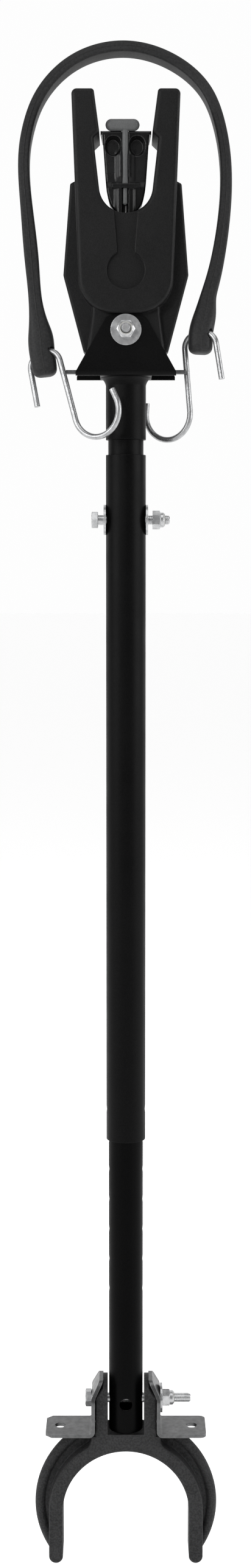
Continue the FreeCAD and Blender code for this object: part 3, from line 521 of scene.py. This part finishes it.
# %% Bolts
bolt_r = 3.97 * MM
head_flats = 12.7 * MM
head_height = 5.2 * MM
thread_pitch = 25.4 / 18 * MM
thread_length = 23.0 * MM
thread_core = 3.12 * MM
ridge_size = 0.80 * MM
head_chamfer_share = 0.47
head_chamfer_deg = 28.0
head_under_share = 0.48
head_under_bevel = 0.3 * MM
head_dish_shares = (0.80, 0.84)
head_dish_depth = 0.25 * MM
shank_taper = 0.8 * MM
point_taper = 0.9 * MM
point_bevel = 0.5 * MM
thread_run_out = 1.2 * MM
round_points = 72


def bolt_mesh(name, length):
    """A bolt along Z, with the top of its head at 0 and its point at length."""
    chamfer_r = head_flats * head_chamfer_share
    fall = math.tan(math.radians(head_chamfer_deg))
    thread_from = length - thread_length
    rings = [
        circle_ring(chamfer_r * head_dish_shares[0], head_dish_depth, round_points),
        circle_ring(chamfer_r * head_dish_shares[1], 0.0, round_points),
        circle_ring(chamfer_r, 0.0, round_points),
        hex_ring(head_flats, lambda radius: (radius - chamfer_r) * fall, round_points),
        hex_ring(head_flats, lambda radius: head_height - head_under_bevel, round_points),
        circle_ring(head_flats * head_under_share, head_height, round_points),
        circle_ring(bolt_r, head_height, round_points),
        circle_ring(bolt_r, thread_from - shank_taper, round_points),
        circle_ring(thread_core, thread_from, round_points),
        circle_ring(thread_core, length - point_taper, round_points),
        circle_ring(thread_core - point_bevel, length, round_points),
    ]
    run = thread_length - thread_run_out
    values = {thread_inputs["Turns"]: run / thread_pitch, thread_inputs["Length"]: run,
              thread_inputs["Helix Radius"]: bolt_r - ridge_size, thread_inputs["Ridge Size"]: ridge_size}
    ridge = grown_mesh(name + "_thread", thread_nodes, values)
    points, faces = mesh_part(ridge)
    lifted = [point + Vector((0.0, 0.0, thread_from)) for point in points]
    return build_mesh(name, [skin(rings), (lifted, faces)], highlit_bolt_zinc)


def bolt_piece(name, node, body, turn, head_low):
    """A bolt in the place of a solid, turned to its axis, with its head at the low or high end."""
    low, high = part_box(node)
    span = [high[i] - low[i] for i in range(3)]
    along = span.index(max(span))
    mesh = bolt_mesh(name, span[along])
    centre = [(low[i] + high[i]) / 2 for i in range(3)]
    centre[along] = low[along] if head_low else high[along]
    mesh.transform(Matrix.Translation(centre) @ turn)
    return place_piece(name, mesh, body, "zinc", node)


to_x = Matrix.Rotation(math.radians(90.0), 4, "Y")
to_front = Matrix.Rotation(math.radians(90.0), 4, "X")
bolt_piece("bolt_shock", "shock_bolt", "upper_tube", to_x, True)
bolt_piece("bolt_lower", "lower_bolt", "foot", to_x, True)
bolt_piece("bolt_pivot", "pivot_bolt", "head", to_front, False)

# %% [markdown]
# Each lock nut grips its bolt with a nylon ring that is pressed into the collar and stands a
# little proud. It is a turned ring, cut by the bolt as it was driven on.

# %% Nylon rings
# radius and height above the collar's mouth, in millimetres, once round the section
ring_profile = [(4.02, -1.2), (4.0, 0.0), (4.3, 0.3), (4.8, 0.3), (5.0, 0.05), (5.0, -1.2)]


def ring_piece(name, node, body, turn, at_low):
    """A nylon ring in the mouth of a nut's collar."""
    low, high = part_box(node)
    centre = [(low[i] + high[i]) / 2 for i in range(3)]
    along = [i for i in range(3) if abs((turn @ Vector((0, 0, 1)))[i]) > 0.5][0]
    centre[along] = low[along] if at_low else high[along]
    rings = [circle_ring(radius * MM, z * MM, round_points) for radius, z in ring_profile]
    mesh = build_mesh(name, [skin(rings + rings[:1], False, False)], nylon)
    mesh.transform(Matrix.Translation(centre) @ turn)
    return place_piece(name, mesh, body, "pin_grey")


ring_piece("ring_shock", "shock_nut", "upper_tube", to_x, False)
ring_piece("ring_lower", "lower_nut", "foot", to_x, False)
ring_piece("ring_pivot", "pivot_nut", "head", to_front, True)

# %% [markdown]
# The rubber strap is moulded in one length. Its band is a rounded bar that swells into a thick
# eye at each end, with a fine flash line where the mould halves met. It is skinned through
# rounded sections that stand square to a smooth line through its stations, and the two eyes
# are cut by the same flared round shape that the wire sweeps when a hook swings.

# %% Strap stations
# sideways place, height above the cradle's pivot, thickness and corner radius, in millimetres
strap_stations = [
    (-63.4, -36.0, 18.0, 7.0), (-64.4, -26.0, 19.8, 7.0), (-66.0, -16.5, 20.2, 7.0),
    (-67.2, -3.5, 19.8, 7.0), (-68.8, 7.0, 15.4, 5.0), (-70.4, 18.0, 11.8, 3.0),
    (-74.2, 56.5, 11.0, 2.0), (-78.4, 100.0, 9.6, 2.0), (-80.0, 146.0, 8.8, 2.0),
    (-76.5, 165.5, 8.8, 2.0), (-69.7, 184.5, 8.8, 2.0), (-55.6, 204.5, 8.8, 2.0),
    (-39.0, 217.5, 8.8, 2.0), (0.0, 227.1, 8.8, 2.0), (34.0, 218.0, 8.8, 2.0),
    (64.0, 191.5, 8.8, 2.0), (73.4, 168.0, 8.8, 2.0), (78.9, 131.5, 8.8, 2.0),
    (76.0, 80.0, 10.0, 2.0), (68.4, 41.0, 11.4, 2.0), (64.6, 26.5, 13.2, 3.0),
    (62.2, 13.0, 17.6, 5.0), (59.0, -1.5, 19.2, 7.0), (58.8, -10.0, 19.2, 7.0),
    (58.2, -18.0, 18.2, 7.0),
]
strap_width = 16.5
strap_lean = math.radians(8.0)
strap_sections = 260
smallest_corner = 1.2
toe_r = 5.5
flash_height = 0.35
flash_half = 0.35
flash_full_thickness = 8.0
corner_steps = 6


def spline(knots, values, places):
    """A smooth line through values at knots, read at places."""
    count = len(knots)
    gaps = np.diff(knots)
    matrix = np.eye(count)
    right = np.zeros(count)
    slopes = np.diff(values) / gaps
    for i in range(1, count - 1):
        matrix[i, i - 1:i + 2] = (gaps[i - 1], 2 * (gaps[i - 1] + gaps[i]), gaps[i])
        right[i] = 6 * (slopes[i] - slopes[i - 1])
    bend = np.linalg.solve(matrix, right)
    row = np.clip(np.searchsorted(knots, places, side="right") - 1, 0, count - 2)
    a = (knots[row + 1] - places) / gaps[row]
    b = 1 - a
    return (a * values[row] + b * values[row + 1]
            + ((a ** 3 - a) * bend[row] + (b ** 3 - b) * bend[row + 1]) * gaps[row] ** 2 / 6)


def section_ring(thickness, width, corner):
    """A rounded rectangle with a small flash line in the middle of each narrow side."""
    half_t, half_w = thickness / 2, width / 2
    ring = []
    for quarter, (u, v) in enumerate(((1, 1), (-1, 1), (-1, -1), (1, -1))):
        for step in range(corner_steps + 1):
            turn = math.radians(90.0 * quarter + 90.0 / corner_steps * step)
            ring.append((u * (half_t - corner) + corner * math.cos(turn),
                         v * (half_w - corner) + corner * math.sin(turn)))
        if quarter in (0, 2):
            peak = v * (half_w + flash_height * min(1.0, thickness / flash_full_thickness))
            ring += [(u * flash_half, v * half_w), (0.0, peak), (-u * flash_half, v * half_w)]
    return ring


print("stations", len(strap_stations))

# %% Strap
def strap_rings():
    """The strap's sections from toe to toe, before it leans."""
    table = np.array(strap_stations)
    steps = np.hypot(np.diff(table[:, 0]), np.diff(table[:, 1]))
    knots = np.concatenate([[0.0], np.cumsum(steps)])
    places = np.linspace(0.0, knots[-1], strap_sections)
    x, rise, thick, corner = (spline(knots, table[:, i], places) for i in range(4))
    rings = []

    def ring_at(i, slide, inset):
        j, k = max(i - 1, 0), min(i + 1, len(places) - 1)
        ahead = Vector((x[k] - x[j], rise[k] - rise[j])).normalized()
        across = Vector((ahead.y, -ahead.x))
        section = section_ring(thick[i] - 2 * inset, strap_width - 2 * inset,
                               max(corner[i] - inset, smallest_corner))
        base = Vector((x[i], rise[i])) + ahead * slide
        return [((base.x + across.x * u) * MM, v * MM, (base.y + across.y * u) * MM) for u, v in section]

    turns = [math.radians(angle) for angle in (90, 75, 60, 45, 30, 15)]
    inner = next(i for i, place in enumerate(places) if place > toe_r)
    outer = len(places) - 1 - inner
    for turn in turns:
        rings.append(ring_at(inner, -toe_r * math.sin(turn), toe_r * (1 - math.cos(turn))))
    rings += [ring_at(i, 0.0, 0.0) for i in range(inner, outer + 1)]
    for turn in reversed(turns):
        rings.append(ring_at(outer, toe_r * math.sin(turn), toe_r * (1 - math.cos(turn))))
    return rings


eye_r = 2.6
eye_bend_r = 10.3
eye_flat = 3.7
eye_flare_from_deg, eye_flare_to_deg = 68.0, 254.0
eye_points = 90


def eye_cutter(joint, side):
    """One eye's hole along the axis of its hook's joint; its mouths flare below and in front."""
    flare_r = eye_bend_r - eye_r
    half = [(eye_flat + flare_r * math.sin(math.radians(a)), eye_bend_r - flare_r * math.cos(math.radians(a)))
            for a in range(0, 80, 5)]
    profile = [(-d, r) for d, r in reversed(half)] + half
    along = Vector(joint["axis"]).normalized() * side
    up = (Vector((0.0, 0.0, 1.0)) - along * along.z).normalized()
    back = up.cross(along)
    rings = []
    for d, flared in profile:
        ring = []
        for step in range(eye_points):
            turn = 360.0 / eye_points * step
            radius = flared if eye_flare_from_deg <= turn <= eye_flare_to_deg else eye_r
            ring.append((along * d + up * (radius * math.cos(math.radians(turn)))
                         - back * (radius * math.sin(math.radians(turn)))) * MM)
        rings.append(ring)
    mesh = build_mesh("eye_cutter", [skin(rings)], rubber)
    mesh.transform(Matrix.Translation(joint["pos_m"]))
    cutter = bpy.data.objects.new("eye_cutter", mesh)
    bpy.context.scene.collection.objects.link(cutter)
    return cutter


joints = {joint["name"]: joint for joint in frame["joints"]}
left_eye = Vector(joints["hook_left_swing"]["pos_m"])
right_eye = Vector(joints["hook_right_swing"]["pos_m"])
pivot_height = joints["cradle_tilt"]["pos_m"][2]
lean_point = Vector((0.0, (left_eye.y + right_eye.y) / 2, (left_eye.z + right_eye.z) / 2))
upright = Matrix.Translation((0.0, 0.0, pivot_height - lean_point.z))
leaning = Matrix.Translation(lean_point) @ Matrix.Rotation(-strap_lean, 4, "X") @ upright
strap_mesh = build_mesh("strap_band", [skin(strap_rings())], rubber, 40.0)
# The faces of the flash ridge take the paler rubber, a painted highlight along the strap's narrow sides.
strap_mesh.materials.append(highlit_flash_rubber)
flash_highlight_from = (strap_width / 2 + 0.05) * MM
for face in strap_mesh.polygons:
    face.material_index = 1 if abs(face.center.y) > flash_highlight_from else 0
strap_mesh.transform(leaning)
band = bpy.data.objects.new("strap_band", strap_mesh)
bpy.context.scene.collection.objects.link(band)
cutters = [eye_cutter(joints["hook_left_swing"], 1), eye_cutter(joints["hook_right_swing"], -1)]
for cutter in cutters:
    cut = band.modifiers.new("eye", "BOOLEAN")
    cut.operation = "DIFFERENCE"
    cut.solver = "EXACT"
    cut.object = cutter
cut_mesh = bpy.data.meshes.new_from_object(band.evaluated_get(bpy.context.evaluated_depsgraph_get()))
band.modifiers.clear()
for spare in cutters + [band]:
    bpy.data.objects.remove(spare)
cut_mesh.name = "strap_rubber"
cut_mesh.materials.clear()
cut_mesh.materials.append(rubber)
cut_mesh.materials.append(highlit_flash_rubber)
cut_mesh.shade_smooth()
cut_mesh.set_sharp_from_angle(angle=math.radians(40.0))
place_piece("strap_rubber", cut_mesh, "head", "strap_rubber", "strap")

# %% [markdown]
# The insert in the cradle's pocket is moulded rubber. Its front has a round groove for the pin
# with a soft ridge on either side, a bridge that holds the pin's neck, and two arched hollows
# under the lip. The front is worked out point by point, row above row, and closed at the back.

# %% Pad
# heights are above the cradle's pivot and widths are from its middle, all in millimetres
pad_rise = 151.2
pad_foot = 88.8
pad_front = -20.0
pad_back = 20.0
pad_rim = 1.5
pad_lip_rise = 148.3
pad_lip_half = 19.6
pad_heights = (pad_foot, 91.5, 96.0, 101.0, 106.0, 110.5, 114.5, pad_lip_rise)
pad_halves = (6.2, 9.0, 12.2, 13.9, 14.9, 15.4, 15.75, 18.1)
pin_low, pin_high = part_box("locking_pin")
pin_x = -0.6
pin_y = (pin_low[1] + pin_high[1]) / 2 / MM
groove_r = 2.6
ridge_height = 1.3
hollow_side, hollow_rise = 9.2, 140.0
hollow_half, hollow_tall = 6.6, 8.0
hollow_depth = 7.0
foot_depth = 1.6
bridge_foot, bridge_top, bridge_half = 108.0, 111.0, 11.0
bridge_cover = 1.0
step_gap = 0.02
back_fall = 1.2
front_points, back_points = 131, 15


def ramp(value, low, high):
    """0 below low, 1 above high and smooth between them."""
    share = min(1.0, max(0.0, (value - low) / (high - low)))
    return share * share * (3.0 - 2.0 * share)


def pad_half(rise):
    """Half the pad's width at a height: narrow foot, straight sides and a wider lip."""
    if rise >= pad_lip_rise:
        return pad_lip_half
    return float(np.interp(rise, pad_heights, pad_halves))


def pad_face(x, rise):
    """How far forward the pad's front stands at a point."""
    off = x - pin_x
    half = pad_half(rise)
    y = pad_front
    y -= ridge_height * ramp(rise, 111.5, 117.0) * ramp(-rise, -139.0, -132.0) * ramp(-abs(off), -8.5, -3.4)
    arch = math.hypot((abs(off) - hollow_side) / hollow_half, (rise - hollow_rise) / hollow_tall)
    y += hollow_depth * ramp(-arch, -1.0, -0.72) * ramp(-rise, -147.6, -146.9)
    y += foot_depth * ramp(-rise, -113.0, -108.5) * ramp(abs(off), 5.0, 9.0)
    if abs(off) < groove_r:
        y = max(y, pin_y + math.sqrt(groove_r ** 2 - off ** 2))
    if bridge_foot <= rise <= bridge_top and abs(x) < bridge_half:
        y = pin_y - groove_r - bridge_cover
    rim = min(half - abs(x), pad_rise - rise)
    if rim < pad_rim:
        y += pad_rim - math.sqrt(max(0.0, pad_rim ** 2 - (pad_rim - rim) ** 2))
    return y


def pad_rings():
    """Level rings from the pad's foot to its top: many points in front, few behind."""
    rises = list(np.arange(pad_foot, pad_rise, 0.5))
    rises += [bridge_foot - step_gap, bridge_foot, bridge_top, bridge_top + step_gap]
    rises += [pad_lip_rise - step_gap, pad_lip_rise, pad_rise - 0.2, pad_rise - 0.1, pad_rise]
    rings = []
    for rise in sorted(rises):
        half = pad_half(rise)
        height = pivot_height + rise * MM
        ring = [(half * u * MM, pad_face(half * u, rise) * MM, height)
                for u in np.linspace(-1.0, 1.0, front_points)]
        rim = max(0.0, pad_rim - (pad_rise - rise))
        for t in np.linspace(1.0, -1.0, back_points):
            side = (half - back_fall * abs(t) ** 4) * t
            back = pad_back - back_fall * abs(t) ** 8 - rim
            ring.append((side * MM, back * MM, height))
        rings.append(ring)
    return rings


pad_mesh = build_mesh("pad_rubber", [skin(pad_rings())], pad_rubber, 50.0)
place_piece("pad_rubber", pad_mesh, "cradle", "pad_rubber", "cradle_pad")

# %% [markdown]
# The shock's spring is squeezed by its stroke in the real part: its foot stays on the bolt while its head follows
# the clevis.
# Here the coil is the node's own mesh with a blue finish and a copy of its own, carried whole by the upper tube.
# It lies out of sight inside the sleeve.

# %% Shock coil
coil_mesh = nodes["shock_spring"].data.copy()
coil_mesh.name = "shock_coil"
coil_mesh.materials.clear()
coil_mesh.materials.append(spring_blue)
coil = place_piece("shock_coil", coil_mesh, "upper_tube", "spring_blue", "shock_spring")
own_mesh(coil)

# %% [markdown]
# Each solid takes the finish of its real part. The lower tube's coat is a darker copy, painted shade, and the
# bolts, nuts and washers take a lighter copy of the zinc, painted highlight.

# %% Dress the solids
dressing = {
    # the lower tube's darker coat is painted shade
    shaded_tube_coat: ["lower_tube"],
    powder_coat: ["upper_tube", "stem_tube", "stub_tube", "clevis"],
    moulded: ["cradle"],
    cast_grey: ["fork"],
    plate_grey: ["adapter_left", "adapter_right"],
    pin_grey: ["locking_pin"],
    # the bolts' lighter zinc is painted highlight
    highlit_bolt_zinc: ["lower_washer", "lower_nut", "shock_washers", "shock_nut", "pivot_washers", "pivot_nut"],
    zinc: ["hook_left", "hook_right"],
    rod_steel: ["strap_rod"],
}
for material, names in dressing.items():
    for name in names:
        nodes[name].data.materials.clear()
        nodes[name].data.materials.append(material)
print("dressed", sum(len(names) for names in dressing.values()))
